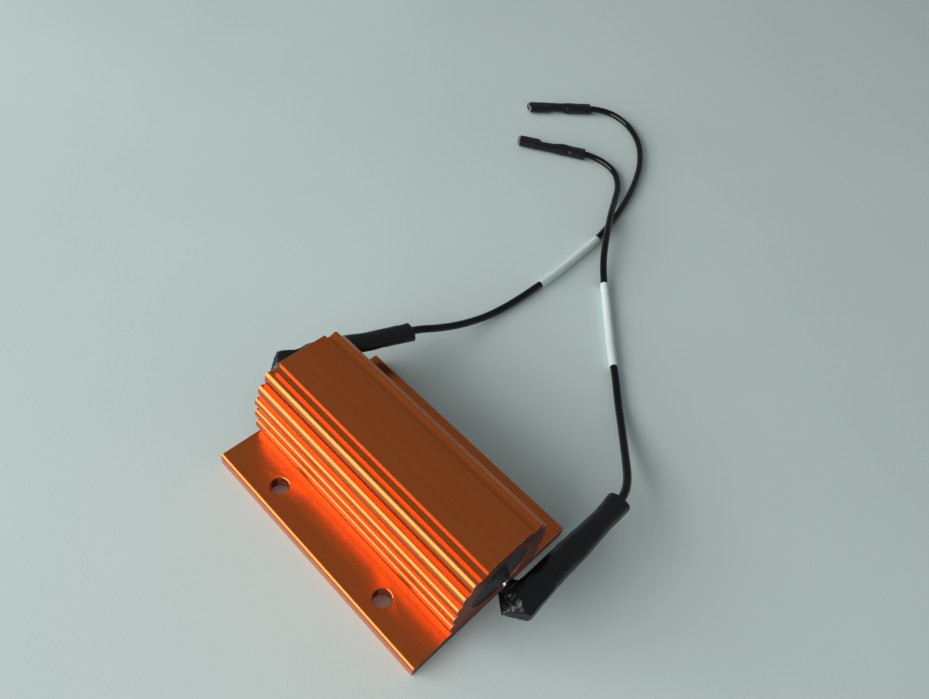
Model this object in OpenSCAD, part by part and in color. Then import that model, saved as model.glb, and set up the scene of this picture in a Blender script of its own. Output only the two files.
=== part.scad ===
// Aluminium housed power resistor for chassis mounting, with two soldered leads.
// X runs along the extrusion, Y across its flanges, Z up from the mounting face.
// The origin is the centre of the mounting face.

/* [Extruded housing] */
// Length of the extrusion
body_len = 65.2; // [50:0.1:100]
// Width over the two mounting flanges
base_w = 47.4; // [44:0.1:60]
// Thickness of the mounting flanges
flange_t = 3.5; // [2.5:0.1:4.5]
// Diameter of the bore that holds the resistance element
bore_d = 16.6; // [15:0.1:18]
// Metal between the mounting face and the bore
floor_t = 3.7; // [2.5:0.1:6]
// Metal between the bore and the top plate
roof_t = 3.8; // [3:0.1:6]
// Metal between the bore and the tips of the fins
side_t = 5; // [4.5:0.1:6]
// Width of the flat top plate
plate_w = 12.8; // [8:0.1:14]
// Rounding of the outer edges of the flanges
edge_r = 0.9; // [0.3:0.1:1.2]

/* [Fins] */
// Number of fins on each side
fins = 5; // [4:1:5]
// Angle of the top fin above the horizontal
fin_top = 47; // [44:1:50]
// Angle between neighbouring fins
fin_step = 17; // [15:1:17]
// Height of the centre of the fan of fins above the axis of the bore
fan_rise = 1.4; // [0.8:0.1:1.8]
// Depth of the ledge above the top fin
ledge_top = 1.8; // [1:0.1:2]
// Depth of the ledge above the bottom fin
ledge_low = 0.65; // [0.4:0.05:1]
// How far the face of a fin bulges out
fin_bulge = 0.55; // [0.2:0.05:0.8]

/* [Fixing holes] */
// Distance between the holes along the housing
pitch_x = 35; // [20:0.1:44]
// Distance between the holes across the housing
pitch_y = 37; // [35:0.1:38]
// Diameter of the holes
hole_d = 4.4; // [3:0.1:5]

/* [Resistance element] */
// Diameter of the ceramic core
core_d = 8; // [5:0.1:9]
// Distance from the ends of the ceramic core to the ends of the housing
core_gap = 9.6; // [8.6:0.1:12]
// Diameter of the resistance wire
coil_d = 0.8; // [0.4:0.1:1]
// Number of turns of resistance wire
turns = 18; // [8:1:20]
// Wall of the end caps
cap_t = 0.5; // [0.3:0.05:0.8]
// Depth of the end caps over the core
cap_len = 6; // [3:0.5:8]
// How far the moulding sits back from the ends of the housing
recess = 0.6; // [0.2:0.1:2]
// How far its cone round each terminal stands out of the housing
cone_out = 1.3; // [0.5:0.1:1.5]

/* [Terminals] */
// Diameter of the terminal shank
shank_d = 2.2; // [2:0.1:2.4]
// Diameter of the flattened solder eye
eye_d = 4.4; // [4:0.1:4.4]
// Thickness of the flattened solder eye
eye_t = 1.2; // [0.8:0.1:1.2]
// Hole in the solder eye
eye_hole = 2; // [1.2:0.1:2.4]
// Distance from the end of the housing to the centre of the eye
eye_reach = 6.1; // [5.8:0.1:6.3]

/* [Leads] */
// Outer diameter of the insulated wire
wire_d = 2.1; // [1.6:0.05:2.1]
// Diameter of the bared strands
strand_d = 1.2; // [0.8:0.05:1.2]
// Wall of the heat-shrunk sleeves on the terminals
sleeve_t = 0.5; // [0.3:0.05:0.5]
// Wall of the wire markers
marker_t = 0.15; // [0.1:0.01:0.2]

/* [Push-on receptacles] */
// Thickness of the tinned sheet
sheet_t = 0.35; // [0.2:0.05:0.4]
// Width over the curled sides, for a 2.8 mm tab
socket_w = 3.8; // [3.6:0.1:4.2]
// Height over the curled sides
socket_h = 2; // [1.8:0.1:2.2]
// Length of the curled sides
socket_len = 7.2; // [5:0.1:8]
// Length of the narrow neck behind the curled sides
neck_len = 2; // [1:0.1:3]
// Length of the crimp on the strands
crimp_len = 4; // [2:0.1:5]
// Length of the crimp on the insulation
grip_len = 3.6; // [2:0.1:4]
// Wall of the heat-shrunk cover
cover_t = 0.3; // [0.2:0.05:0.4]
// Length of the cover behind the insulation crimp
cover_tail = 5.8; // [3:0.1:6]

/* [Hidden] */
$fn = 48;
eps = 0.01;                              // keeps touching faces from coinciding
fit = 0.05;                              // running clearance of pushed and moulded fits

bore_r = bore_d / 2;
bore_z = floor_t + bore_r;               // height of the axis of the bore
body_h = bore_z + bore_r + roof_t;
fan_z = bore_z + fan_rise;
tip_r = bore_r + side_t;                 // radius on which the tips of the fins lie
half_l = body_len / 2;
face_steps = 6;                          // flats in the curved face of a fin
plate_side = 1.3;                        // upright side of the top plate
plate_step = 0.3;                        // narrow step below that side

core_len = body_len - 2 * core_gap;
shelf = 0.3;                             // clear space between the winding and the caps
coil_steps = 12;                         // straight runs in a turn of the winding
coil_in = (core_d / 2 + fit) / cos(180 / coil_steps);
winding_r = coil_in + coil_d;
cap_r = core_d / 2 + fit + cap_t;
cap_face = core_len / 2 + cap_t;         // outer face of the end caps
pot_r = max(winding_r, cap_r) + fit;
cone_foot = 3;                           // radius of the foot of the cone round a terminal
cone_root = 1;                           // how deep that foot lies in the moulding

cone_tip = shank_d / 2 + 0.5;            // radius of its tip
eye_x = half_l + eye_reach;
wire_r = wire_d / 2;
strand_r = strand_d / 2;
wire_x = eye_x - 0.4;                    // the strands cross the eye nearer to the housing
wire_z = bore_z + eye_t / 2 + strand_r;  // the strands lie on the solder eye
bare_y = 3.2;                            // where the insulation starts beside the eye
strand_tail = 1.5;                       // strands past the centre of the eye
wire_sides = 8;
skin_sides = 20;                         // sides of the heat-shrunk sleeves and covers

barrel_r = socket_h / 2;                 // crimp on the strands
grip_r = wire_r + fit + sheet_t;         // crimp on the insulation
grip_gap = 1.2;                          // open length between the two crimps
floor_w = 1;                             // flat floor between the crimps and the socket
seam = 0.12;                             // seam along the top of a crimp
curl_end = 150;                          // where the curled side ends, round from outside
socket_x = socket_len + neck_len + crimp_len + grip_gap;

// Centre of the left wire from the solder eye to its insulation crimp: out of the sleeve,
// down to the mounting surface, under the other lead and round in an open hook.
route_left = [[-wire_x, bare_y, wire_z], [-38.3, 6.3, 13.1], [-36.9, 10.5, 12.4],
    [-35.1, 15.5, 11.5], [-33.5, 20.5, 10.7], [-32, 25.5, 9.9], [-30.7, 30.5, 9.1],
    [-29.3, 35.5, 7.9], [-27.8, 40.5, 6.2], [-26.5, 46, 4.4], [-25.5, 52, 2.8],
    [-24.7, 58.5, 1.6], [-24.1, 65, 1.3], [-23.8, 71.5, 1.3], [-23.8, 78, 1.3],
    [-24, 87, 1.3], [-24.6, 96, 1.3], [-25.3, 105, 1.3], [-26.6, 113.5, 1.2],
    [-28.8, 123, 1.2], [-32, 133.5, 1.2], [-36.3, 144, 1.2], [-41.8, 154, 1.2],
    [-49, 162.5, 1.2], [-57.5, 167.6, 1.2], [-65.3, 168.2, 1.4], [-71, 164.6, 1.8],
    [-74.5, 159.9, 1.8], [-78, 155.2, 1.8]];
marked_left = [14, 17];                  // the marker reaches from the first of these points to the last

// Centre of the right wire: it passes over the left one in a long low hump.
route_right = [[wire_x, bare_y, wire_z], [38.5, 6.5, 13.1], [38.8, 12, 12.5],
    [38.8, 18, 11.7], [38.6, 24, 10.9], [38.4, 30, 10.2], [38, 35, 9.4], [37, 39.2, 8.4],
    [35, 43.2, 7.1], [32, 47.4, 5.6], [28.4, 52, 4], [24, 57.3, 2.6],
    [18.5, 63.5, 1.5], [12.5, 70, 1.3], [6, 76.5, 1.3], [-0.5, 83.5, 1.3],
    [-7, 90.5, 1.3], [-12.5, 96, 2], [-17, 101, 3], [-21, 106.5, 3.8],
    [-25, 112.8, 3.9], [-29.5, 120.5, 3.2], [-34, 129, 1.9], [-38, 136, 1.3],
    [-43.2, 141, 1.2], [-49, 142.2, 1.4], [-54.5, 140.4, 1.8], [-59, 137.2, 1.8],
    [-63.5, 134, 1.8]];
marked_right = [13, 16];

// Sleeve stations: centre, heading, width and height. From its end at the terminal shank
// the sleeve folds over the solder eye and turns along the wire to its open mouth.
folds_left = [[-34.9, -0.6, 12.1, 180, 4.8, 3.8], [-36, -0.8, 12.2, 172, 5.7, 4.2],
    [-38, -0.85, 12.2, 146, 7.1, 4.6], [-39.1, 1.5, 12.3, 106, 6.7, 4.8],
    [-38.25, 3.3, 12.4, 94, 5.5, 4.9], [-37.2, 7.4, 12.4, 77, 5.5, 4.8],
    [-35.6, 13.4, 11.8, 74, 5.2, 4.5], [-33.4, 18.8, 11.1, 74, 5.1, 4.2],
    [-31.7, 24.7, 10.2, 75, 5.1, 4], [-30.5, 29, 9.5, 75, 5.1, 4], [-29.6, 32.3, 8.9, 75, 5.2, 4.2]];
folds_right = [[34.9, -0.6, 12.1, 4, 4.8, 3.8], [35.9, -0.9, 12.2, 12, 5.8, 4.2],
    [37.35, -1.1, 12.2, 32, 7.2, 4.7], [38.9, 0.1, 12.3, 60, 7.8, 4.9],
    [39.1, 2.6, 12.5, 86, 6.9, 5], [38.9, 8, 12.4, 90, 6.4, 4.9], [38.8, 14, 11.9, 91, 6.2, 4.6],
    [38.7, 20, 11.4, 92, 5.9, 4.4], [38.5, 26, 10.8, 93, 5.4, 4.2], [38.3, 31, 10.2, 94, 5.5, 4.2],
    [38, 34.8, 9.6, 95, 6, 4.6]];

function fin_angle(k) = fin_top - k * fin_step;

function fin_tip(k) =
    let (a = fin_angle(k))
    a > 0 ? [tip_r * cos(a), fan_z + tip_r * sin(a)] : [tip_r, fan_z + tip_r * tan(a)];

// Inner end of the ledge on top of fin k; below the last fin it is the root on the flange.
function fin_ledge(k) =
    k == fins ? [tip_r - ledge_low, flange_t]
    : let (a = max(0, fin_angle(k)), deep = ledge_top + (ledge_low - ledge_top) * k / (fins - 1))
      fin_tip(k) - [deep, deep * tan(a / 2)];

// Curved face of fin k, from its tip down to the next ledge, fullest near the tip.
function fin_face(k) =
    let (a = fin_tip(k), b = fin_ledge(k + 1), run = b - a, out = [-run[1], run[0]] / norm(run))
    [for (i = [0 : face_steps - 1])
        let (u = i / face_steps)
        a + run * u + out * fin_bulge * sin(180 * pow(u, 0.7))];

function flange_edge() =
    [for (a = [90 : -15 : 0])
        [base_w / 2 - edge_r + edge_r * cos(a), flange_t - edge_r + edge_r * sin(a)]];

function half_outline() = concat(
    [[plate_w / 2, body_h], [plate_w / 2, body_h - plate_side],
     [plate_w / 2 + plate_step, body_h - plate_side]],
    [for (k = [0 : fins - 1]) each concat([fin_ledge(k)], fin_face(k))],
    [fin_ledge(fins)],
    flange_edge(),
    [[base_w / 2, 0]]);

// A flat-sided oval: straight top and bottom, round sides.
function oval(w, h, n) =
    [for (i = [0 : n - 1])
        let (a = 360 * (i + 0.5) / n)
        [sign(cos(a)) * (w - h) / 2 + h / 2 * cos(a), h / 2 * sin(a)]];

// One ring of points standing across a heading, at a centre.
function ring_at(centre, heading, outline) =
    [for (p = outline)
        centre + [p[0] * sin(heading), -p[0] * cos(heading), p[1]]];

function unit(v) = v / norm(v);

// Ring i of a round tube along the points of a route.
function ring_along(route, i, r) =
    let (
        n = len(route) - 1,
        t = unit(route[min(i + 1, n)] - route[max(i - 1, 0)]),
        side = unit(cross(t, [0, 0, 1])),
        up = cross(side, t))
    [for (k = [0 : wire_sides - 1])
        let (a = 360 * (k + 0.5) / wire_sides)
        route[i] + r * (cos(a) * side + sin(a) * up)];

// Skin over a list of rings. A closed skin joins the last ring to the first, as round a hollow tube.
module skin(rings, closed = false) {
    m = len(rings);
    n = len(rings[0]);
    walls = [for (i = [0 : closed ? m - 1 : m - 2], k = [0 : n - 1])
        let (j = (i + 1) % m, l = (k + 1) % n)
        each [[i * n + k, i * n + l, j * n + l], [i * n + k, j * n + l, j * n + k]]];
    ends = closed ? [] : [[for (k = [0 : n - 1]) n - 1 - k], [for (k = [0 : n - 1]) (m - 1) * n + k]];
    polyhedron([for (r = rings) each r], concat(walls, ends), convexity = 6);
}

module tube(outer, inner) {
    n = len(inner) - 1;
    skin(concat(outer, [for (i = [n : -1 : 0]) inner[i]]), closed = true);
}

module along_bore(x0, x1, r) {
    translate([x0, 0, bore_z]) rotate([0, 90, 0]) cylinder(r = r, h = x1 - x0);
}

module housing() {
    half = half_outline();
    n = len(half) - 1;
    color("#d9641e")
    difference() {
        rotate([90, 0, 90])
        linear_extrude(height = body_len, center = true)
        polygon(concat(half, [for (i = [n : -1 : 0]) [-half[i][0], half[i][1]]]));
        along_bore(-half_l - 1, half_l + 1, bore_r);
        for (x = [-1, 1], y = [-1, 1])
            translate([x * pitch_x / 2, y * pitch_y / 2, -1]) cylinder(d = hole_d, h = flange_t + 2);
    }
}

module moulding() {
    color("#2b2c2e")
    difference() {
        union() {
            along_bore(recess - half_l, half_l - recess, bore_r - fit);
            for (m = [0, 1])
                mirror([m, 0, 0])
                translate([half_l - recess - cone_root, 0, bore_z])
                rotate([0, 90, 0])
                cylinder(r1 = cone_foot, r2 = cone_tip, h = cone_root + recess + cone_out);
        }
        along_bore(-cap_face - fit, cap_face + fit, pot_r);
        along_bore(-half_l - cone_out - 1, half_l + cone_out + 1, shank_d / 2 + fit);
    }
}

module ceramic_core() {
    color("#efe9dc") along_bore(-core_len / 2, core_len / 2, core_d / 2);
}

module resistance_winding() {
    span = core_len - 2 * (cap_len + shelf) - coil_d;
    coil_r = coil_d / 2;
    color("#8f8a84")
    skin([for (i = [0 : turns * coil_steps])
        let (a = 360 * i / coil_steps, x = span * (i / (turns * coil_steps) - 0.5))
        [for (b = [0 : 60 : 300])
            let (r = coil_in + coil_r + coil_r * cos(b))
            [x - coil_r * sin(b), r * sin(a), bore_z + r * cos(a)]]]);
}

module end_cap(side) {
    color("#b9bcc0")
    mirror([side < 0 ? 1 : 0, 0, 0])
    difference() {
        along_bore(cap_face - cap_t - cap_len, cap_face, cap_r);
        along_bore(cap_face - cap_t - cap_len - 1, core_len / 2, core_d / 2 + fit);
    }
}

module terminal(side) {
    shank_end = eye_x - eye_d / 2 - 0.4;
    color("#c9ccd0")
    mirror([side < 0 ? 1 : 0, 0, 0])
    difference() {
        union() {
            along_bore(cap_face, shank_end, shank_d / 2);
            translate([0, 0, bore_z - eye_t / 2])
            linear_extrude(height = eye_t) {
                translate([eye_x, 0]) circle(d = eye_d);
                polygon([[shank_end - 1, -shank_d / 2 + eps], [eye_x, -eye_d / 2 + 0.2],
                    [eye_x, eye_d / 2 - 0.2], [shank_end - 1, shank_d / 2 - eps]]);
            }
        }
        translate([eye_x, 0, bore_z - eye_t]) cylinder(d = eye_hole, h = 2 * eye_t);
    }
}

// Solder fills the eye, wets both sides of it and covers the strands.
module solder(side) {
    pad_r = eye_d / 2 - 0.5;
    top = strand_d + 0.15;
    bead = 0.45;
    color("#d8dadd")
    difference() {
        translate([side * eye_x, 0, bore_z])
        rotate_extrude()
        polygon([[0, -eye_t / 2 - bead], [pad_r * 0.5, -eye_t / 2 - bead * 0.8],
            [pad_r * 0.8, -eye_t / 2], [eye_hole / 2 - eps, -eye_t / 2], [eye_hole / 2 - eps, eye_t / 2],
            [pad_r, eye_t / 2], [pad_r * 0.8, eye_t / 2 + top * 0.6],
            [pad_r * 0.45, eye_t / 2 + top * 0.9], [0, eye_t / 2 + top]]);
        strand_at_eye(side, strand_r + eps);
    }
}

module strand_at_eye(side, r) {
    translate([side * wire_x, bare_y - fit, wire_z])
    rotate([90, 0, 0]) cylinder(r = r, h = bare_y - fit + strand_tail);
}

function route(side) = side < 0 ? route_left : route_right;

function fold_rings(side, wall) =
    [for (f = side < 0 ? folds_left : folds_right)
        ring_at([f[0], f[1], f[2]], f[3], oval(f[4] - 2 * wall, f[5] - 2 * wall, skin_sides))];

// Puts a piece at the end of a wire, with X pointing from the wire to the mouth of the receptacle.
module at_receptacle(side) {
    r = route(side);
    last = r[len(r) - 1];
    run = last - r[len(r) - 2];
    translate(last) rotate([0, 0, atan2(run[1], run[0])]) children();
}

// Bared strands: one end on the solder eye, the other in the crimp of the receptacle.
module strands(side) {
    color("#c98a5a") {
        strand_at_eye(side, strand_r);
        at_receptacle(side)
        rotate([0, 90, 0]) cylinder(r = strand_r, h = grip_gap + crimp_len - 0.4);
    }
}

module lug_sleeve(side) {
    color("#1b1c1f") tube(fold_rings(side, 0), fold_rings(side, sleeve_t));
}

module lead_wire(side) {
    r = route(side);
    color("#101113") skin([for (i = [0 : len(r) - 1]) ring_along(r, i, wire_r)]);
}

module marker(side) {
    r = route(side);
    span = side < 0 ? marked_left : marked_right;
    color("#f2f4f4")
    tube([for (i = [span[0] : span[1]]) ring_along(r, i, wire_r + fit + marker_t)],
        [for (i = [span[0] : span[1]]) ring_along(r, i, wire_r + fit)]);
}

// Rolled sheet round the wire, open along a narrow seam on top.
module barrel(x0, length, r) {
    translate([x0, 0, 0])
    rotate([90, 0, 90])
    linear_extrude(height = length)
    difference() {
        circle(r = r);
        circle(r = r - sheet_t);
        translate([-seam / 2, 0]) square([seam, 2 * r]);
    }
}

// Section of the socket: a flat floor with both sides curled over and in.
module socket_section() {
    r = socket_h / 2;
    for (s = [-1, 1])
        mirror([s < 0 ? 1 : 0, 0])
        translate([socket_w / 2 - r, 0])
        difference() {
            circle(r = r);
            circle(r = r - sheet_t);
            polygon([[0, 0], [2 * r * cos(curl_end), 2 * r * sin(curl_end)], [-2 * r, -r], [0, -2 * r]]);
        }
    translate([r - socket_w / 2, -r]) square([socket_w - 2 * r, sheet_t]);
}

module receptacle(side) {
    neck_x = grip_gap + crimp_len;
    color("#cfd3d6")
    at_receptacle(side) {
        translate([neck_x + neck_len, 0, 0]) rotate([90, 0, 90])
        linear_extrude(height = socket_len) socket_section();
        barrel(grip_gap, crimp_len, barrel_r);
        barrel(-grip_len, grip_len, grip_r);
        // floor from the insulation crimp up to the crimp on the strands
        rotate([90, 0, 0])
        linear_extrude(height = floor_w, center = true)
        polygon([[-sheet_t, -grip_r], [0, -grip_r],
            [grip_gap, -barrel_r], [grip_gap + sheet_t, -barrel_r],
            [grip_gap + sheet_t, sheet_t - barrel_r], [grip_gap, sheet_t - barrel_r],
            [0, sheet_t - grip_r], [-sheet_t, sheet_t - grip_r]]);
        // neck that widens to the socket
        translate([0, 0, -barrel_r])
        linear_extrude(height = sheet_t)
        polygon([[neck_x - sheet_t, -floor_w / 2], [neck_x + neck_len * 0.4, -floor_w / 2],
            [neck_x + neck_len, -(socket_w - socket_h) / 2],
            [neck_x + neck_len, (socket_w - socket_h) / 2],
            [neck_x + neck_len * 0.4, floor_w / 2], [neck_x - sheet_t, floor_w / 2]]);
    }
}

// Cover stations: place along the receptacle, width and height inside the cover.
function cover_stations() =
    let (
        w = socket_w + 2 * fit,
        h = socket_h + 2 * fit,
        g = 2 * (grip_r + fit),
        end = -grip_len - cover_tail)
    [[socket_x - 0.7, w, h], [socket_x - socket_len - 0.3, w, h],
     [socket_x - socket_len - neck_len * 0.7, w - 1.1, h], [grip_gap + 0.6, w - 1.2, h + 0.1],
     [0.3, g + 0.3, g], [-grip_len, g + 0.3, g], [-grip_len - 1, g + 0.1, g - 0.4],
     [end, w + 0.1, 2 * (wire_r + fit)]];

function cover_rings(wall) =
    [for (c = cover_stations())
        ring_at([c[0], 0, 0], 180, oval(c[1] + 2 * wall, c[2] + 2 * wall, skin_sides))];

module receptacle_cover(side) {
    color("#1b1c1f")
    at_receptacle(side)
    tube(cover_rings(cover_t), cover_rings(0));
}

housing();
moulding();
ceramic_core();
resistance_winding();
end_cap(-1);  // end_cap_left
end_cap(1);  // end_cap_right
terminal(-1);  // terminal_left
terminal(1);  // terminal_right
solder(-1);  // solder_left
solder(1);  // solder_right
strands(-1);  // strands_left
strands(1);  // strands_right
lug_sleeve(-1);  // lug_sleeve_left
lug_sleeve(1);  // lug_sleeve_right
lead_wire(-1);  // lead_wire_left
lead_wire(1);  // lead_wire_right
marker(-1);  // marker_left
marker(1);  // marker_right
receptacle(-1);  // receptacle_left
receptacle(1);  // receptacle_right
receptacle_cover(-1);  // receptacle_cover_left
receptacle_cover(1);  // receptacle_cover_right
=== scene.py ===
from math import atan2, cos, exp, pi, radians, sin, tan

import bmesh
import bpy
from mathutils import Matrix, Vector, noise


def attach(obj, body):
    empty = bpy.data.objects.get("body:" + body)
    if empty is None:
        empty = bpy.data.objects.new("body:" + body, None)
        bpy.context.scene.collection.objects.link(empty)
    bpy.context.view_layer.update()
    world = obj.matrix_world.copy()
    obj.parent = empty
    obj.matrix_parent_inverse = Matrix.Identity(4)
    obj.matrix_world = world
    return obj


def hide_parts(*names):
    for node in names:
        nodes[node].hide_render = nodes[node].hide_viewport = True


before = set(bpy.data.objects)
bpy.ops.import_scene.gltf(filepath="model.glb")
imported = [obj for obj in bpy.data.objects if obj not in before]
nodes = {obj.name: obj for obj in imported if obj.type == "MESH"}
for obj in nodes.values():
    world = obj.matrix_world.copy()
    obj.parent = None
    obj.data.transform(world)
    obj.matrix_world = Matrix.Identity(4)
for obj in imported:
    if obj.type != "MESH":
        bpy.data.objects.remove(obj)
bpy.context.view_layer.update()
scene = bpy.context.scene
scene.view_settings.view_transform = "Standard"


def mm(value):
    return value / 1000


def inMetres(points):
    return [Vector(point) / 1000 for point in points]


def linear(hexColour):
    # an sRGB hex colour as linear values for a shader
    channels = [int(hexColour[i:i + 2], 16) / 255 for i in (1, 3, 5)]
    return tuple(c / 12.92 if c <= 0.04045 else ((c + 0.055) / 1.055) ** 2.4 for c in channels) + (1,)


def bezierAt(points, i, t):
    # the same curve that the leads' own splines draw
    last = len(points) - 1
    a, d = points[i], points[i + 1]
    b = a + (points[i + 1] - points[max(i - 1, 0)]) / 6
    c = d - (points[min(i + 2, last)] - points[i]) / 6
    s = 1 - t
    return a * s ** 3 + b * 3 * s * s * t + c * 3 * s * t * t + d * t ** 3


def blendRows(rows, steps):
    # smooth in-between rows of plain numbers, used for cross sections along a sleeve
    out = []
    last = len(rows) - 1
    for i in range(last):
        p0, p1, p2, p3 = rows[max(i - 1, 0)], rows[i], rows[i + 1], rows[min(i + 2, last)]
        for k in range(steps):
            t = k / steps
            row = []
            for a, b, c, d in zip(p0, p1, p2, p3):
                cubic = 2 * a - 5 * b + 4 * c - d + t * (3 * (b - c) + d - a)
                row.append(b + 0.5 * t * (c - a + t * cubic))
            out.append(row)
    return out + [list(rows[last])]


def easeRows(rows, steps):
    # in-between rows with flat tangents at each row, so that steps stay crisp
    out = []
    for a, b in zip(rows, rows[1:]):
        for k in range(steps):
            t = k / steps
            s = t * t * (3 - 2 * t)
            out.append([p + (q - p) * (t if j == 0 else s) for j, (p, q) in enumerate(zip(a, b))])
    return out + [list(rows[-1])]


def addPiece(name, verts, faces, material, sharpAngle=35):
    mesh = bpy.data.meshes.new(name)
    mesh.from_pydata([tuple(v) for v in verts], [], faces)
    mesh.validate()
    piece = bpy.data.objects.new(name, mesh)
    scene.collection.objects.link(piece)
    for oneMaterial in material if isinstance(material, list) else [material]:
        mesh.materials.append(oneMaterial)
    shadeSmooth(piece, sharpAngle)
    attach(piece, "root")
    return piece


def shadeSmooth(piece, sharpAngle):
    for polygon in piece.data.polygons:
        polygon.use_smooth = True
    piece.data.set_sharp_from_angle(angle=radians(sharpAngle))


def applyModifiers(piece):
    evaluated = piece.evaluated_get(bpy.context.evaluated_depsgraph_get())
    mesh = bpy.data.meshes.new_from_object(evaluated)
    piece.modifiers.clear()
    piece.data = mesh


def ringsToMesh(rings, closedLoop=False, capEnds=True):
    count = len(rings[0])
    verts = [v for ring in rings for v in ring]
    faces = []
    for i in range(len(rings) if closedLoop else len(rings) - 1):
        j = (i + 1) % len(rings)
        for k in range(count):
            l = (k + 1) % count
            faces.append((i * count + k, i * count + l, j * count + l, j * count + k))
    if capEnds and not closedLoop:
        faces.append(tuple(range(count - 1, -1, -1)))
        faces.append(tuple((len(rings) - 1) * count + k for k in range(count)))
    return verts, faces


def pathFrames(path):
    frames = []
    for i, point in enumerate(path):
        ahead = (path[min(i + 1, len(path) - 1)] - path[max(i - 1, 0)]).normalized()
        across = ahead.cross(Vector((0, 0, 1))).normalized()
        frames.append((point, across, across.cross(ahead)))
    return frames


def noiseAt(x, y, z, scale):
    return noise.noise(Vector((x, y, z)) * scale)


def newMaterial(name):
    material = bpy.data.materials.new(name)
    material.use_nodes = True
    tree = material.node_tree
    return material, tree, tree.nodes["Principled BSDF"]


def addNode(tree, kind, settings=None, inputs=None, links=None):
    # settings are properties, inputs are socket values, links are {socket: (node, output)}
    node = tree.nodes.new(kind)
    for key, value in (settings or {}).items():
        setattr(node, key, value)
    for key, value in (inputs or {}).items():
        node.inputs[key].default_value = value
    for key, (source, output) in (links or {}).items():
        tree.links.new(source.outputs[output], node.inputs[key])
    return node


def setShader(shader, **values):
    for key, value in values.items():
        shader.inputs[key.replace("_", " ")].default_value = value


def colourRamp(tree, source, output, stops):
    ramp = addNode(tree, "ShaderNodeValToRGB", links={"Fac": (source, output)})
    elements = ramp.color_ramp.elements
    while len(elements) < len(stops):
        elements.new(0.5)
    for element, (position, colour) in zip(elements, stops):
        element.position = position
        element.color = linear(colour)
    return ramp


def stretchedNoise(tree, coords, scale, detail, roughness=0.5):
    # noise whose cells are 1 / scale metres long on each axis
    mapping = addNode(tree, "ShaderNodeMapping", inputs={"Scale": scale},
                      links={"Vector": (coords, "Object")})
    return addNode(tree, "ShaderNodeTexNoise",
                   inputs={"Scale": 1, "Detail": detail, "Roughness": roughness},
                   links={"Vector": (mapping, "Vector")})


def spread(tree, source, low, high):
    # the middle part of a noise, spread over the range from low to high
    return addNode(tree, "ShaderNodeMapRange",
                   inputs={"From Min": 0.3, "From Max": 0.7, "To Min": low, "To Max": high},
                   links={"Value": (source, "Fac")})


def addBump(tree, shader, layers):
    # layers are (node, output, strength, height in metres), stacked one on another
    below = None
    for node, output, strength, height in layers:
        links = {"Height": (node, output)}
        if below:
            links["Normal"] = (below, "Normal")
        below = addNode(tree, "ShaderNodeBump", inputs={"Strength": strength, "Distance": height},
                        links=links)
    tree.links.new(below.outputs["Normal"], shader.inputs["Normal"])


anodising = {
    "dye": "#d96d2a", "dyeDeep": "#d66928", "dyeWorn": "#dc712d",
    "roughness": (0.26, 0.28), "coat": 0.4, "coatRoughness": 0.2, "metal": 0.9,
    "dieLine": 0.22, "streak": 1.6,          # mm between the faint lines that the die leaves
    "lineCells": 12, "streakCells": 25,      # per metre, along the extrusion
    "lineBump": 0.01, "lineDepth": 0.00001,
}


def makeAnodised():
    # satin dyed oxide on extruded aluminium: coloured metal glow, faint lines along the extrusion
    material, tree, shader = newMaterial("anodisedAluminium")
    coords = addNode(tree, "ShaderNodeTexCoord")
    lines = 1000 / anodising["dieLine"]
    streaks = 1000 / anodising["streak"]
    fine = stretchedNoise(tree, coords, (anodising["lineCells"], lines, lines), 3)
    broad = stretchedNoise(tree, coords, (anodising["streakCells"], streaks, streaks), 4, 0.6)
    colour = colourRamp(tree, broad, "Fac", [(0.3, anodising["dyeDeep"]), (0.52, anodising["dye"]),
                                             (0.75, anodising["dyeWorn"])])
    low, high = anodising["roughness"]
    rough = spread(tree, broad, low, high)
    tree.links.new(colour.outputs["Color"], shader.inputs["Base Color"])
    tree.links.new(rough.outputs["Result"], shader.inputs["Roughness"])
    addBump(tree, shader, [(fine, "Fac", anodising["lineBump"], anodising["lineDepth"])])
    setShader(shader, Metallic=anodising["metal"], Coat_Weight=anodising["coat"],
              Coat_Roughness=anodising["coatRoughness"])
    return material


sawnEnd = {
    "dye": "#a9452a", "dyeDark": "#6d2c22", "roughness": 0.5,
    "sawMark": 0.5,                          # mm between marks
    "bladeShift": (0, 0.03, 0.16), "bladeBump": 0.5, "bladeDepth": 0.00006,
    "gritCells": 900, "gritBump": 0.4, "gritDepth": 0.00005,
}


def makeSawnEnd():
    # saw-cut aluminium, anodised after: rough and dark, with slightly bowed blade marks
    material, tree, shader = newMaterial("sawnAnodisedAluminium")
    coords = addNode(tree, "ShaderNodeTexCoord")
    marks = addNode(tree, "ShaderNodeMapping", inputs={"Location": sawnEnd["bladeShift"]},
                    links={"Vector": (coords, "Object")})
    wavesPerScale = 20                       # rings in one unit of the wave texture
    blade = addNode(tree, "ShaderNodeTexWave", {"wave_type": "RINGS", "rings_direction": "X"},
                    {"Scale": 1000 / sawnEnd["sawMark"] / wavesPerScale, "Distortion": 0.8, "Detail": 2,
                     "Detail Scale": 40}, {"Vector": (marks, "Vector")})
    grit = stretchedNoise(tree, coords, (sawnEnd["gritCells"],) * 3, 4, 0.65)
    colour = colourRamp(tree, grit, "Fac", [(0.35, sawnEnd["dyeDark"]), (0.65, sawnEnd["dye"])])
    tree.links.new(colour.outputs["Color"], shader.inputs["Base Color"])
    addBump(tree, shader, [(blade, "Fac", sawnEnd["bladeBump"], sawnEnd["bladeDepth"]),
                           (grit, "Fac", sawnEnd["gritBump"], sawnEnd["gritDepth"])])
    setShader(shader, Metallic=1, Roughness=sawnEnd["roughness"])
    return material


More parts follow.
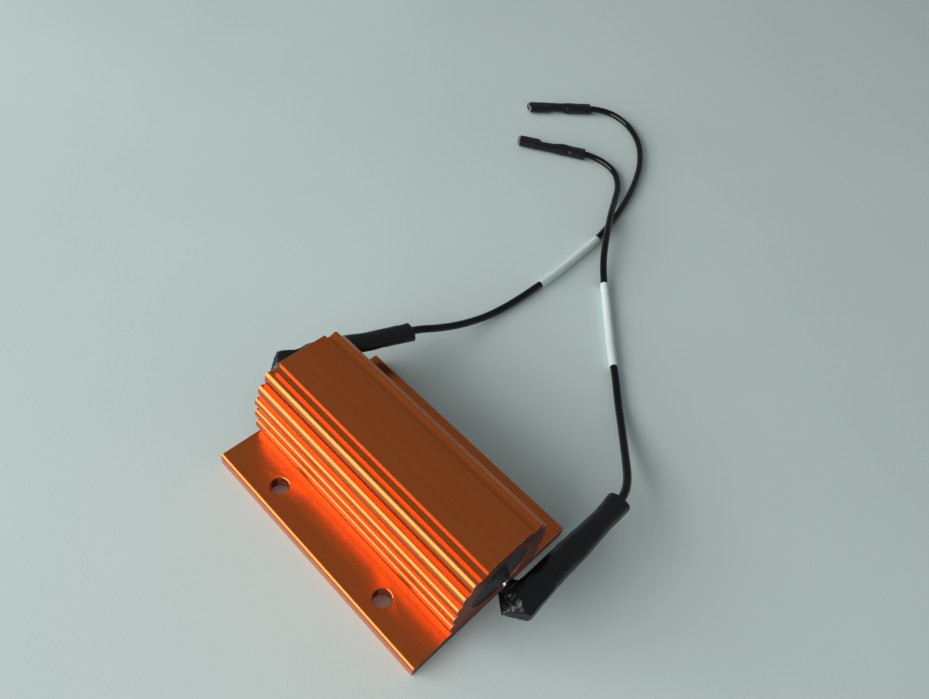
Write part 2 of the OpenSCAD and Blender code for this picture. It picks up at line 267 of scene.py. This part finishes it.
metalGrain = {
    "pitCells": 6000, "stainDepth": 0.00005, "pitDepth": 0.00001, "smoothest": 0.8, "roughest": 1.3,
}
plasticGrain = {"cloudDepth": 0.0001, "fineDepth": 0.00002, "fineCells": 6, "fineBump": 0.5}


def makeMetal(name, light, dark, roughness, spot, bump):
    # plain metal with slow stains and fine pits; spot is the stain size in mm
    material, tree, shader = newMaterial(name)
    coords = addNode(tree, "ShaderNodeTexCoord")
    stains = stretchedNoise(tree, coords, (1000 / spot,) * 3, 4, 0.6)
    pits = stretchedNoise(tree, coords, (metalGrain["pitCells"],) * 3, 2)
    colour = colourRamp(tree, stains, "Fac", [(0.35, dark), (0.6, light)])
    rough = spread(tree, stains, roughness * metalGrain["smoothest"], roughness * metalGrain["roughest"])
    tree.links.new(colour.outputs["Color"], shader.inputs["Base Color"])
    tree.links.new(rough.outputs["Result"], shader.inputs["Roughness"])
    addBump(tree, shader, [(stains, "Fac", bump, metalGrain["stainDepth"]),
                           (pits, "Fac", bump, metalGrain["pitDepth"])])
    setShader(shader, Metallic=1)
    return material


def makePlastic(name, light, dark, roughness, grain, bump, streaky=1.0, ior=1.5):
    # grain is the size of the surface's unevenness in mm; streaky stretches it along Y
    material, tree, shader = newMaterial(name)
    coords = addNode(tree, "ShaderNodeTexCoord")
    cell = 1000 / grain
    cloud = stretchedNoise(tree, coords, (cell, cell / streaky, cell), 5, 0.6)
    fine = stretchedNoise(tree, coords, (cell * plasticGrain["fineCells"],) * 3, 2)
    colour = colourRamp(tree, cloud, "Fac", [(0.35, dark), (0.68, light)])
    low, high = roughness
    rough = spread(tree, cloud, low, high)
    tree.links.new(colour.outputs["Color"], shader.inputs["Base Color"])
    tree.links.new(rough.outputs["Result"], shader.inputs["Roughness"])
    addBump(tree, shader, [(cloud, "Fac", bump, plasticGrain["cloudDepth"]),
                           (fine, "Fac", bump * plasticGrain["fineBump"], plasticGrain["fineDepth"])])
    setShader(shader, IOR=ior)
    return material


anodised = makeAnodised()
sawn = makeSawnEnd()
# burr that the saw leaves round the ends, in a lighter peach metal that also paints a glint onto the
# cut-end chamfers
burrWithPaintedGlint = makeMetal("bareAluminiumBurrAndPaintedGlint", "#f2a878", "#c9693a", 0.22, 0.6, 0.3)
# bright, soft tin on the terminals and receptacles
tinned = makeMetal("tinPlatedBrass", "#e6e8ea", "#b9bdc2", 0.2, 1.2, 0.25)
# smooth, frozen solder
solderTin = makeMetal("solder", "#e2e4e6", "#a9adb1", 0.16, 0.8, 0.35)
# pressed end caps
pressedSteel = makeMetal("nickelPlatedSteel", "#c9cac9", "#9b9c9d", 0.28, 2.0, 0.2)
# drawn and oxidised resistance wire
drawnWire = makeMetal("nickelChromeWire", "#9d968f", "#6f6a66", 0.38, 0.5, 0.3)
# bare strands
bareCopper = makeMetal("copperStrands", "#d98a5c", "#a9603a", 0.3, 0.4, 0.4)
# gritty, dull filling
moulded = makePlastic("silicaFilledResin", "#3a3d40", "#232527", (0.5, 0.72), 0.7, 0.7)
# fired, unglazed ceramic
ceramic = makePlastic("steatite", "#f1ecdf", "#ddd5c4", (0.45, 0.6), 0.5, 0.3)
# heat-shrunk sleeve with a soft sheen
shrunk = makePlastic("polyolefinSleeve", "#0c0e11", "#07080a", (0.24, 0.36), 1.1, 0.12, 6.0)
# smooth, glossy wire cover
insulation = makePlastic("pvcInsulation", "#070808", "#040505", (0.12, 0.18), 1.6, 0.04, 8.0, ior=1.42)
# satin white tube
marking = makePlastic("whitePvcMarker", "#e4f1f0", "#d9e8e7", (0.36, 0.48), 1.2, 0.08, 3.0)
print("materials made")


cameraSetup = {
    "place": (0.06032, -0.06857, 0.16644),
    "right": (0.70010, 0.70077, 0.13704), "up": (-0.60819, 0.48468, 0.62865),
    "lens": 30.92, "sensor": 36, "clip": (0.01, 20),
}

cameraData = bpy.data.cameras.new("camera")
cameraData.sensor_fit = "HORIZONTAL"
cameraData.sensor_width = cameraSetup["sensor"]
cameraData.lens = cameraSetup["lens"]
cameraData.clip_start, cameraData.clip_end = cameraSetup["clip"]
camera = bpy.data.objects.new("camera", cameraData)
scene.collection.objects.link(camera)
rightAxis, upAxis = Vector(cameraSetup["right"]), Vector(cameraSetup["up"])
backAxis = rightAxis.cross(upAxis)
camera.matrix_world = Matrix.Translation(cameraSetup["place"]) @ Matrix(
    (rightAxis, upAxis, backAxis)).transposed().to_4x4()
scene.camera = camera


leads = {
    "diameter": mm(2.1), "bevelSteps": 5, "curveSteps": 5,
    # the points that each lead runs through in mm, from the solder eye to the receptacle's crimp;
    # marked is where its marker starts and ends, counted in points
    "left": {
        "route": [
            (-38.3, 3.2, 13.2), (-38.3, 6.3, 13.1), (-36.9, 10.5, 12.4), (-35.1, 15.5, 11.5),
            (-33.5, 20.5, 10.7), (-32, 25.5, 9.9), (-30.7, 30.5, 9.1), (-29.3, 35.5, 7.9),
            (-27.8, 40.5, 6.2), (-26.5, 46, 4.4), (-25.5, 52, 2.8), (-24.7, 58.5, 1.6),
            (-24.1, 65, 1.3), (-23.8, 71.5, 1.3), (-23.8, 78, 1.3), (-24, 87, 1.3),
            (-24.6, 96, 1.3), (-25.3, 105, 1.3), (-26.6, 113.5, 1.2), (-28.8, 123, 1.2),
            (-32, 133.5, 1.2), (-36.3, 144, 1.2), (-41.8, 154, 1.2), (-49, 162.5, 1.2),
            (-57.5, 167.6, 1.2), (-65.3, 168.2, 1.4), (-71, 164.6, 1.8), (-74.5, 159.9, 1.8),
            (-78, 155.2, 1.8)],
        "marked": (14.2, 17.5), "length": 0.2045},
    "right": {
        "route": [
            (38.3, 3.2, 13.2), (38.5, 6.5, 13.1), (38.8, 12, 12.5), (38.8, 18, 11.7),
            (38.6, 24, 10.9), (38.4, 30, 10.2), (38, 35, 9.4), (37, 39.2, 8.4),
            (35, 43.2, 7.1), (32, 47.4, 5.6), (28.4, 52, 4), (24, 57.3, 2.6),
            (18.5, 63.5, 1.5), (12.5, 70, 1.3), (6, 76.5, 1.3), (-0.5, 83.5, 1.3),
            (-7, 90.5, 1.3), (-12.5, 96, 2), (-17, 101, 3), (-21, 106.5, 3.8),
            (-25, 112.8, 3.9), (-29.5, 120.5, 3.2), (-34, 129, 1.9), (-38, 136, 1.3),
            (-43.2, 141, 1.2), (-49, 142.2, 1.4), (-54.5, 140.4, 1.8), (-59, 137.2, 1.8),
            (-63.5, 134, 1.8)],
        "marked": (13.4, 16.8), "length": 0.1908},
}


def makeLead(side):
    points = inMetres(leads[side]["route"])
    curve = bpy.data.curves.new("leadWire" + side.title(), "CURVE")
    curve.dimensions = "3D"
    curve.bevel_depth = leads["diameter"] / 2
    curve.bevel_resolution = leads["bevelSteps"]
    curve.resolution_u = leads["curveSteps"]
    curve.use_fill_caps = True
    spline = curve.splines.new("BEZIER")
    spline.bezier_points.add(len(points) - 1)
    for i, (knot, point) in enumerate(zip(spline.bezier_points, points)):
        reach = (points[min(i + 1, len(points) - 1)] - points[max(i - 1, 0)]) / 6
        knot.co = point
        knot.handle_left_type = knot.handle_right_type = "FREE"
        knot.handle_left, knot.handle_right = point - reach, point + reach
    curve.materials.append(insulation)
    lead = bpy.data.objects.new("leadWire" + side.title(), curve)
    scene.collection.objects.link(lead)
    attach(lead, "root")
    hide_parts("lead_wire_" + side)
    return lead


leadPieces = {side: makeLead(side) for side in ("left", "right")}


marker = {
    "wall": mm(0.15), "slack": mm(0.05), "bore": mm(0.01), "edge": mm(0.05), "steps": 30, "sides": 32,
    # the tube isn't quite round: share of the radius, noise steps along and around it
    "wobble": 0.012, "wobbleAlong": 0.35, "wobbleAround": 1.5,
}


def makeMarker(side):
    # thin white tube pushed on the wire, cut square at both ends
    points = inMetres(leads[side]["route"])
    first, last = leads[side]["marked"]
    m = marker
    path = []
    for k in range(m["steps"] + 1):
        place = first + (last - first) * k / m["steps"]
        path.append(bezierAt(points, int(place), place - int(place)))
    outer = leads["diameter"] / 2 + m["slack"] + m["wall"]
    inner = leads["diameter"] / 2 + m["bore"]
    rings = []
    for radius, order in ((outer, 1), (inner, -1)):
        frames = pathFrames(path)[::order]
        for i, (centre, across, upright) in enumerate(frames):
            atEnd = i in (0, len(frames) - 1)
            r = radius - (m["edge"] if atEnd and radius == outer else 0)
            ring = []
            for k in range(m["sides"]):
                a = 2 * pi * k / m["sides"]
                wobble = 1
                if radius == outer:
                    around = cos(a) * m["wobbleAround"], sin(a) * m["wobbleAround"]
                    wobble += m["wobble"] * noiseAt(i * m["wobbleAlong"], *around, 1)
                ring.append(centre + (across * cos(a) + upright * sin(a)) * r * wobble)
            rings.append(ring)
    verts, faces = ringsToMesh(rings, closedLoop=True)
    piece = addPiece("marker" + side.title(), verts, faces, marking, 50)
    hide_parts("marker_" + side)
    return piece


markers = {side: makeMarker(side) for side in ("left", "right")}
print("leads and markers made")


sleeve = {
    "wall": 0.5, "sides": 64, "steps": 12, "cutEdge": 0.08,
    # x, y, z, heading, width and height of the sleeve's stations, from the folded mouth to the wire
    "left": [
        (-34.5, -0.7, 12.1, 182, 4.6, 3.8), (-36, -0.8, 12.2, 172, 5.7, 4.2),
        (-38, -0.85, 12.2, 146, 7.1, 4.6), (-39.1, 1.5, 12.3, 106, 6.7, 4.8),
        (-38.25, 3.3, 12.4, 94, 5.5, 4.9), (-37.2, 7.4, 12.4, 77, 5.5, 4.8),
        (-35.6, 13.4, 11.8, 74, 5.2, 4.5), (-33.4, 18.8, 11.1, 74, 5.1, 4.2),
        (-31.7, 24.7, 10.2, 75, 5.1, 4), (-30.5, 29, 9.5, 75, 5.1, 4), (-29.6, 32.3, 8.9, 75, 5.2, 4.2)],
    "right": [
        (34.4, -0.8, 12.1, -4, 4.4, 3.8), (35.9, -0.9, 12.2, 12, 5.8, 4.2),
        (37.35, -1.1, 12.2, 32, 7.2, 4.7), (38.9, 0.1, 12.3, 60, 7.8, 4.9),
        (39.1, 2.6, 12.5, 86, 6.9, 5), (38.9, 8, 12.4, 90, 6.4, 4.9), (38.8, 14, 11.9, 91, 6.2, 4.6),
        (38.7, 20, 11.4, 92, 5.9, 4.4), (38.5, 26, 10.8, 93, 5.4, 4.2), (38.3, 31, 10.2, 94, 5.5, 4.2),
        (38, 34.8, 9.6, 95, 6, 4.6)],
    # where the fold is pulled out into points: place, reach, how far
    "points": {
        "left": [((-42.4, 0.9, 12.2), 2.4, (-1.3, 0.3, -0.3)),
                 ((-39.6, -3.8, 11.9), 2.2, (-0.2, -0.8, -0.2))],
        "right": [((38.2, -4.3, 12), 2.6, (-0.5, -1.3, -0.2)), ((42.4, -1.6, 12.3), 2.4, (0.7, -0.9, 0)),
                  ((36.2, -3.5, 12), 1.8, (-0.6, -0.3, 0))]},
    # flats pressed into the fold by the solder eye: direction, distance from the middle of the eye
    "eye": (38.7, -0.3, 12.2),
    "flats": {
        "left": [((-0.76, -0.62, 0.15), 3.1), ((-0.72, 0.5, 0.45), 3.5), ((-0.1, 0.05, 0.99), 2.25),
                 ((-0.45, -0.55, 0.7), 2.75), ((0.3, -0.6, 0.74), 2.5), ((-0.2, -0.3, -0.93), 2.2)],
        "right": [((-0.62, -0.76, 0.15), 4.0), ((0.58, -0.8, 0.15), 3.3), ((0.98, 0.05, 0.18), 3.75),
                  ((-0.28, -0.54, 0.79), 2.45), ((0.2, -0.62, 0.76), 2.8), ((0.5, -0.02, 0.86), 2.6),
                  ((-0.05, 0.08, 0.99), 2.6), ((0, -0.2, -0.98), 2.2)]},
    "press": 0.9, "pressEnds": 6.5, "pressFades": 3.5,      # the flats fade out over this stretch of y
    "foldPlace": 0.2, "foldReach": 0.14, "mouthReach": 0.05,   # shares of the sleeve's length
    # unevenness: push in mm, then the noise's scale across and along, or how sharp the creases are
    "soft": (0.1, 0.4), "ripple": (0.05, 1.6, 0.45), "mouthRipple": 0.06,
    "crease": (0.16, 0.75, 4), "creaseShift": (9, 0, 0),
}


def flatOval(width, height, sides):
    # two half rounds with flats between them, as a flattened tube has
    points = []
    for k in range(sides):
        a = 2 * pi * (k + 0.5) / sides
        c, s = cos(a), sin(a)
        shift = (1 if c > 0 else -1) * (width - height) / 2 * min(1, abs(c) * 3)
        points.append((shift + height / 2 * c, height / 2 * s))
    return points


def pressFold(point, side, wall):
    # pulls the points of the fold out, then presses its flats in
    for place, reach, pull in sleeve["points"][side]:
        point = point + Vector(pull) * exp(-((point - Vector(place)).length / reach) ** 2)
    x, y, z = sleeve["eye"]
    eye = Vector((-x if side == "left" else x, y, z))
    hold = max(0, min(1, (sleeve["pressEnds"] - point.y) / sleeve["pressFades"]))
    for direction, distance in sleeve["flats"][side]:
        normal = Vector(direction).normalized()
        proud = (point - eye).dot(normal) - (distance - wall)
        if proud > 0:
            point = point - normal * proud * sleeve["press"] * hold
    return point


def creased(point, along):
    # how far the shrunk wall stands out or in at a point, in mm
    softPush, softScale = sleeve["soft"]
    ripplePush, rippleAcross, rippleAlong = sleeve["ripple"]
    creasePush, creaseScale, creaseSharp = sleeve["crease"]
    folded = exp(-((along - sleeve["foldPlace"]) / sleeve["foldReach"]) ** 2)
    mouth = exp(-((1 - along) / sleeve["mouthReach"]) ** 2)
    soft = noise.noise(point * softScale)
    crease = 1 - abs(noise.noise(point * creaseScale + Vector(sleeve["creaseShift"]))) * creaseSharp
    ripple = noise.noise(Vector((point.x * rippleAcross, point.y * rippleAlong, point.z * rippleAcross)))
    return (softPush * soft + ripplePush * ripple - folded * creasePush * max(0, crease)
            + mouth * sleeve["mouthRipple"] * ripple)


def makeSleeve(side):
    stations = blendRows(sleeve[side], sleeve["steps"])
    total = len(stations) - 1
    rings = []
    for inner in (False, True):
        for i in range(total, -1, -1) if inner else range(total + 1):
            x, y, z, heading, width, height = stations[i]
            wall = sleeve["wall"] if inner else sleeve["cutEdge"] if i in (0, total) else 0
            h = radians(heading)
            ring = []
            for u, v in flatOval(width - 2 * wall, height - 2 * wall, sleeve["sides"]):
                point = Vector((x + u * sin(h), y - u * cos(h), z + v))
                away = Vector((u * sin(h) / (width / 2), -u * cos(h) / (width / 2), v / (height / 2)))
                point = pressFold(point, side, wall)
                ring.append((point + away * creased(point, i / total)) / 1000)
            rings.append(ring)
    verts, faces = ringsToMesh(rings, closedLoop=True)
    if side == "left":
        faces = [face[::-1] for face in faces]
    piece = addPiece("terminalSleeve" + side.title(), verts, faces, shrunk, 28)
    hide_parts("lug_sleeve_" + side)
    return piece


sleeves = {side: makeSleeve(side) for side in ("left", "right")}
print("terminal sleeves made")


receptacle = {
    # the solid receptacle's sizes in mm, measured from the end of the wire
    "socketWidth": 3.8, "socketHeight": 2.0, "socketX": 14.4, "socketLength": 7.2,
    "gripLength": 3.6, "gripRadius": 1.45, "gripGap": 1.2,
    # the cover shrunk over it
    "coverWall": 0.3, "coverSlack": 0.05, "coverTail": 5.8, "tailHeight": 2.85, "bare": 0.7,
    "coverSides": 48, "coverSteps": 5, "cutEdge": 0.06, "underside": -1.77,
    "lean": 0.5,
    # unevenness as a share of the size, then the noise's scales
    "soft": (0.02, 0.6), "ripple": (0.01, 1.8, 1.1), "leftShift": 40,
}


def receptacleFrame(side):
    points = inMetres(leads[side]["route"])
    ahead = (points[-1] - points[-2]).normalized()
    return Matrix.Translation(points[-1]) @ Matrix.Rotation(atan2(ahead.y, ahead.x), 4, "Z")


def coverRows(side):
    # place along the receptacle, width, height, sideways lean of the centre
    r = receptacle
    lean = r["lean"] * (1 if side == "left" else -1)
    skin = 2 * (r["coverSlack"] + r["coverWall"])
    w, h, g = r["socketWidth"] + skin, r["socketHeight"] + skin, 2 * r["gripRadius"] + skin
    mouth = r["socketX"] - r["bare"]
    shoulder = r["socketX"] - r["socketLength"] - 0.3
    grip, tail = -r["gripLength"], -r["gripLength"] - r["coverTail"]
    return [
        # flat part round the socket
        (mouth, w - 0.05, h, 0), (mouth - 0.4, w, h, 0), (shoulder + 0.5, w + 0.05, h, 0),
        # shoulder and narrow neck
        (shoulder, w - 0.15, h, -lean * 0.2), (shoulder - 0.7, w - 1.1, h - 0.1, -lean),
        (shoulder - 2.2, w - 1.15, h, -lean), (r["gripGap"] + 0.7, w - 0.95, h, -lean * 0.6),
        # crimps
        (0.2, w - 0.6, g - 0.3, -lean * 0.3), (-0.5, g + 0.5, g, 0), (-2.6, g + 0.6, g, 0.1 * lean),
        # tail on the wire
        (grip, g + 0.3, g, 0), (grip - 0.8, w - 0.25, g - 0.5, 0), (tail, w + 0.1, r["tailHeight"], 0)]


def makeCover(side):
    r = receptacle
    softPush, softScale = r["soft"]
    ripplePush, rippleAlong, rippleScale = r["ripple"]
    stations = easeRows(coverRows(side), r["coverSteps"])
    place = receptacleFrame(side)
    total = len(stations) - 1
    rings = []
    for inner in (False, True):
        for i in range(total, -1, -1) if inner else range(total + 1):
            x, width, height, offset = stations[i]
            wall = r["coverWall"] if inner else r["cutEdge"] if i in (0, total) else 0
            ring = []
            for u, v in flatOval(width - 2 * wall, height - 2 * wall, r["coverSides"]):
                soft = noiseAt(x + (r["leftShift"] if side == "left" else 0), u, v, softScale)
                ripple = noiseAt(x * rippleAlong, u, v, rippleScale)
                push = 1 + softPush * soft + ripplePush * ripple
                upright = max(v * push, r["underside"])
                ring.append(place @ Vector((mm(x), mm(offset + u * push), mm(upright))))
            rings.append(ring)
    verts, faces = ringsToMesh(rings, closedLoop=True)
    piece = addPiece("receptacleCover" + side.title(), verts, faces, shrunk, 32)
    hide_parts("receptacle_cover_" + side)
    return piece


covers = {side: makeCover(side) for side in ("left", "right")}
print("receptacle covers made")


housing = {
    "length": 65.2, "baseWidth": 47.4, "flange": 3.5, "bore": 16.6, "floor": 3.7, "roof": 3.8, "side": 5,
    "plateWidth": 12.8, "edgeRound": 0.9, "plateSide": 1.3, "plateStep": 0.3,
    "pitchX": 35, "pitchY": 37, "hole": 4.4,
    # fins fan round the bore by an angle in degrees; their ledges are a little shallower and their
    # faces a little fuller than in the solids, as the highlights in the photo suggest
    "fins": 5, "finTop": 47, "finStep": 17, "fanRise": 1.4,
    "ledgeTop": 1.3, "ledgeLow": 0.6, "finBulge": 0.75, "bulgeUp": 0.7,
    "faceSteps": 16, "edgeStep": 10, "cornerRound": 0.14, "cornerSteps": 4, "softTurn": 158,
    "cutEdge": 0.1, "boreEdge": 0.04, "holeEdge": 0.12, "boreSides": 96, "holeSides": 64,
    "sawnSlant": 0.93, "burrAndGlintSlant": 0.4,     # how far a face has to look along X for its finish; the band between the two slants gets the burr metal with its painted glint
}


def halfOutline():
    # one side of the extrusion in mm, from the top plate round the fins and the flange to the base
    d = housing
    boreR = d["bore"] / 2
    fanZ = d["floor"] + boreR + d["fanRise"]
    tipR = boreR + d["side"]
    top = d["floor"] + d["bore"] + d["roof"]

    def finTip(k):
        a = radians(d["finTop"] - k * d["finStep"])
        if a > 0:
            return Vector((tipR * cos(a), fanZ + tipR * sin(a)))
        return Vector((tipR, fanZ + tipR * tan(a)))

    def finLedge(k):
        if k == d["fins"]:
            return Vector((tipR - d["ledgeLow"], d["flange"]))
        a = radians(max(0, d["finTop"] - k * d["finStep"]))
        deep = d["ledgeTop"] + (d["ledgeLow"] - d["ledgeTop"]) * k / (d["fins"] - 1)
        return finTip(k) - Vector((deep, deep * tan(a / 2)))

    half = d["plateWidth"] / 2
    points = [Vector((half, top)), Vector((half, top - d["plateSide"])),
              Vector((half + d["plateStep"], top - d["plateSide"]))]
    for k in range(d["fins"]):
        tip, foot = finTip(k), finLedge(k + 1)
        run = foot - tip
        out = Vector((-run.y, run.x)).normalized()
        points.append(finLedge(k))
        for i in range(d["faceSteps"]):
            u = i / d["faceSteps"]
            points.append(tip + run * u + out * d["finBulge"] * sin(pi * u ** d["bulgeUp"]))
    points.append(finLedge(d["fins"]))
    for a in range(90, -1, -d["edgeStep"]):
        points.append(Vector((d["baseWidth"] / 2 - d["edgeRound"] * (1 - cos(radians(a))),
                              d["flange"] - d["edgeRound"] * (1 - sin(radians(a))))))
    points.append(Vector((d["baseWidth"] / 2, 0)))
    return points


def roundCorners(points, radius, softTurn, steps):
    # leaves the nearly straight corners, which only draw a curve
    rounded = []
    count = len(points)
    for i, corner in enumerate(points):
        before, after = points[i - 1] - corner, points[(i + 1) % count] - corner
        turn = before.angle(after)
        if turn > radians(softTurn):
            rounded.append(corner)
            continue
        reach = min(radius / tan(turn / 2), before.length * 0.45, after.length * 0.45)
        a, b = corner + before.normalized() * reach, corner + after.normalized() * reach
        for k in range(steps + 1):
            t = k / steps
            rounded.append(a * (1 - t) ** 2 + corner * 2 * t * (1 - t) + b * t * t)
    return rounded


def insetLoop(points, distance):
    # the same outline, drawn in for the slight bevel at the ends
    out = []
    count = len(points)
    for i, point in enumerate(points):
        run = points[(i + 1) % count] - points[i - 1]
        out.append(point + Vector((run.y, -run.x)).normalized() * distance)
    return out


def lathe(profile, sides, axis, centre):
    # profile is (place on the axis, radius) in mm; axis is "X" or "Z"
    rings = []
    for place, radius in profile:
        ring = []
        for k in range(sides):
            a = 2 * pi * k / sides
            if axis == "X":
                point = (centre[0] + place, centre[1] + radius * cos(a), centre[2] + radius * sin(a))
            else:
                point = (centre[0] + radius * cos(a), centre[1] + radius * sin(a), centre[2] + place)
            ring.append(Vector(point) / 1000)
        rings.append(ring)
    return ringsToMesh(rings)


def makeHousing():
    d = housing
    half = halfOutline()
    whole = half + [Vector((-p.x, p.y)) for p in reversed(half)]
    loop = roundCorners(whole, d["cornerRound"], d["softTurn"], d["cornerSteps"])
    endX = d["length"] / 2
    small = insetLoop(loop, d["cutEdge"])
    stations = [(-endX, small), (-endX + d["cutEdge"], loop), (-endX / 3, loop), (endX / 3, loop),
                (endX - d["cutEdge"], loop), (endX, small)]
    rings = [[Vector((x, p.x, p.y)) / 1000 for p in points] for x, points in stations]
    verts, faces = ringsToMesh(rings)
    piece = addPiece("extrudedHousing", verts, faces, [anodised, sawn, burrWithPaintedGlint])
    # each cutter runs 1 mm past the metal and widens at its rims
    boreR, boreEdge = d["bore"] / 2, d["boreEdge"]
    boreProfile = [(-endX - 1, boreR + boreEdge + 1), (-endX + boreEdge, boreR),
                   (endX - boreEdge, boreR), (endX + 1, boreR + boreEdge + 1)]
    cuts = [lathe(boreProfile, d["boreSides"], "X", (0, 0, d["floor"] + boreR))]
    holeR, holeEdge = d["hole"] / 2, d["holeEdge"]
    holeProfile = [(-1, holeR + holeEdge + 1), (holeEdge, holeR),
                   (d["flange"] - holeEdge, holeR), (d["flange"] + 1, holeR + holeEdge + 1)]
    for x in (-1, 1):
        for y in (-1, 1):
            centre = (x * d["pitchX"] / 2, y * d["pitchY"] / 2, 0)
            cuts.append(lathe(holeProfile, d["holeSides"], "Z", centre))
    tools = []
    for cutVerts, cutFaces in cuts:
        mesh = bpy.data.meshes.new("cutter")
        mesh.from_pydata([tuple(v) for v in cutVerts], [], cutFaces)
        tool = bpy.data.objects.new("cutter", mesh)
        scene.collection.objects.link(tool)
        fixNormals(tool)
        tools.append(tool)
        modifier = piece.modifiers.new("cut", "BOOLEAN")
        modifier.operation, modifier.solver, modifier.object = "DIFFERENCE", "EXACT", tool
    fixNormals(piece)
    applyModifiers(piece)
    for tool in tools:
        bpy.data.objects.remove(tool)
    for polygon in piece.data.polygons:
        slant = abs(polygon.normal.x)
        # the chamfers round the cut ends, the bore's rims among them, get the burr metal whose lighter
        # colour is a painted glint
        polygon.material_index = 1 if slant > d["sawnSlant"] else 2 if slant > d["burrAndGlintSlant"] else 0
    shadeSmooth(piece, 24)
    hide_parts("housing")
    return piece


def fixNormals(piece):
    work = bmesh.new()
    work.from_mesh(piece.data)
    bmesh.ops.recalc_face_normals(work, faces=work.faces)
    work.to_mesh(piece.data)
    work.free()


makeHousing()
print("housing made")


filling = {
    "radius": 8.27, "endX": 32.0, "axisZ": 12, "sides": 96, "rings": 24,
    "coneOut": 1.9, "coneTip": 1.6, "coneFoot": 2.65, "pin": 1.12, "tipRound": 0.15,
    "creep": 0.35, "creepReach": 0.5,        # the resin climbs a little at the bore
    "lumps": ((0.05, 0.8), (0.02, 3.1)),
}


def makeFilling():
    f = filling
    out = f["endX"] + f["coneOut"]
    # one end face as (radius, x), from the terminal out to the bore
    face = [(f["pin"], out - f["tipRound"]), (f["pin"] + f["tipRound"], out),
            (f["coneTip"] - 0.12, out - 0.02), (f["coneTip"], out - f["tipRound"])]
    for i in range(1, f["rings"] + 1):
        r = f["coneTip"] + (f["radius"] - f["coneTip"]) * i / f["rings"]
        wall = f["creep"] * exp(-(f["radius"] - r) / f["creepReach"])
        slope = max(0, 1 - (r - f["coneTip"]) / (f["coneFoot"] - f["coneTip"]))
        face.append((r, f["endX"] + wall + (f["coneOut"] - f["tipRound"]) * slope))
    profile = [(-x, r) for r, x in face] + [(x, r) for r, x in reversed(face)]
    rings = []
    for place, radius in profile:
        ring = []
        for k in range(f["sides"]):
            a = 2 * pi * k / f["sides"]
            y, z = radius * cos(a), f["axisZ"] + radius * sin(a)
            lump = sum(height * noiseAt(y, z, place, scale) for height, scale in f["lumps"])
            ring.append(Vector((place + lump * (1 if place > 0 else -1), y, z)) / 1000)
        rings.append(ring)
    verts, faces = ringsToMesh(rings, capEnds=False)
    piece = addPiece("resinFilling", verts, faces, moulded, 60)
    fixNormals(piece)
    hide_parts("moulding")
    return piece


makeFilling()
print("moulding made")


finishes = {
    "ceramic_core": ceramic, "resistance_winding": drawnWire,
    "end_cap_left": pressedSteel, "end_cap_right": pressedSteel,
    "terminal_left": tinned, "terminal_right": tinned,
    "solder_left": solderTin, "solder_right": solderTin,
    "strands_left": bareCopper, "strands_right": bareCopper,
    "receptacle_left": tinned, "receptacle_right": tinned,
}

for node, material in finishes.items():
    slots = nodes[node].data.materials
    if len(slots):
        slots[0] = material
    else:
        slots.append(material)
print("carried-over nodes finished")


studio = {
    "table": "#d9e9e8", "tableDark": "#d5e5e4", "tableReach": 4, "tableRoughness": 0.9, "tableIor": 1.2,
    "cloudCells": 12, "paintCells": 900, "paintBump": 0.15, "paintDepth": 0.0001,
    "air": (0.2, 0.215, 0.22), "airStrength": 1.0,
    "windowPlace": (-0.38, -0.88, 0.42), "windowSize": (1.5, 0.8), "windowPower": 17.0,
    "windowColour": (1, 0.98, 0.95), "windowAim": (0, 0, 0.01),
}


def makeTable():
    # dull, pale paint
    material, tree, shader = newMaterial("paintedTable")
    coords = addNode(tree, "ShaderNodeTexCoord")
    cloud = stretchedNoise(tree, coords, (studio["cloudCells"],) * 3, 3)
    fine = stretchedNoise(tree, coords, (studio["paintCells"],) * 3, 3)
    colour = colourRamp(tree, cloud, "Fac", [(0.35, studio["tableDark"]), (0.65, studio["table"])])
    tree.links.new(colour.outputs["Color"], shader.inputs["Base Color"])
    addBump(tree, shader, [(fine, "Fac", studio["paintBump"], studio["paintDepth"])])
    setShader(shader, Roughness=studio["tableRoughness"], IOR=studio["tableIor"])
    mesh = bpy.data.meshes.new("tableTop")
    reach = studio["tableReach"]
    corners = [(-reach, -reach, 0), (reach, -reach, 0), (reach, reach, 0), (-reach, reach, 0)]
    mesh.from_pydata(corners, [], [(0, 1, 2, 3)])
    mesh.materials.append(material)
    top = bpy.data.objects.new("tableTop", mesh)
    scene.collection.objects.link(top)


def makeWindow():
    light = bpy.data.lights.new("window", "AREA")
    light.shape = "RECTANGLE"
    light.size, light.size_y = studio["windowSize"]
    light.energy = studio["windowPower"]
    light.color = studio["windowColour"]
    lamp = bpy.data.objects.new("window", light)
    scene.collection.objects.link(lamp)
    place = Vector(studio["windowPlace"])
    lamp.location = place
    lamp.rotation_mode = "QUATERNION"
    lamp.rotation_quaternion = (Vector(studio["windowAim"]) - place).to_track_quat("-Z", "Y")


makeTable()
makeWindow()
world = bpy.data.worlds.new("room")
scene.world = world
world.use_nodes = True
background = world.node_tree.nodes["Background"]
background.inputs["Color"].default_value = (*studio["air"], 1)
background.inputs["Strength"].default_value = studio["airStrength"]
print("table and light made")
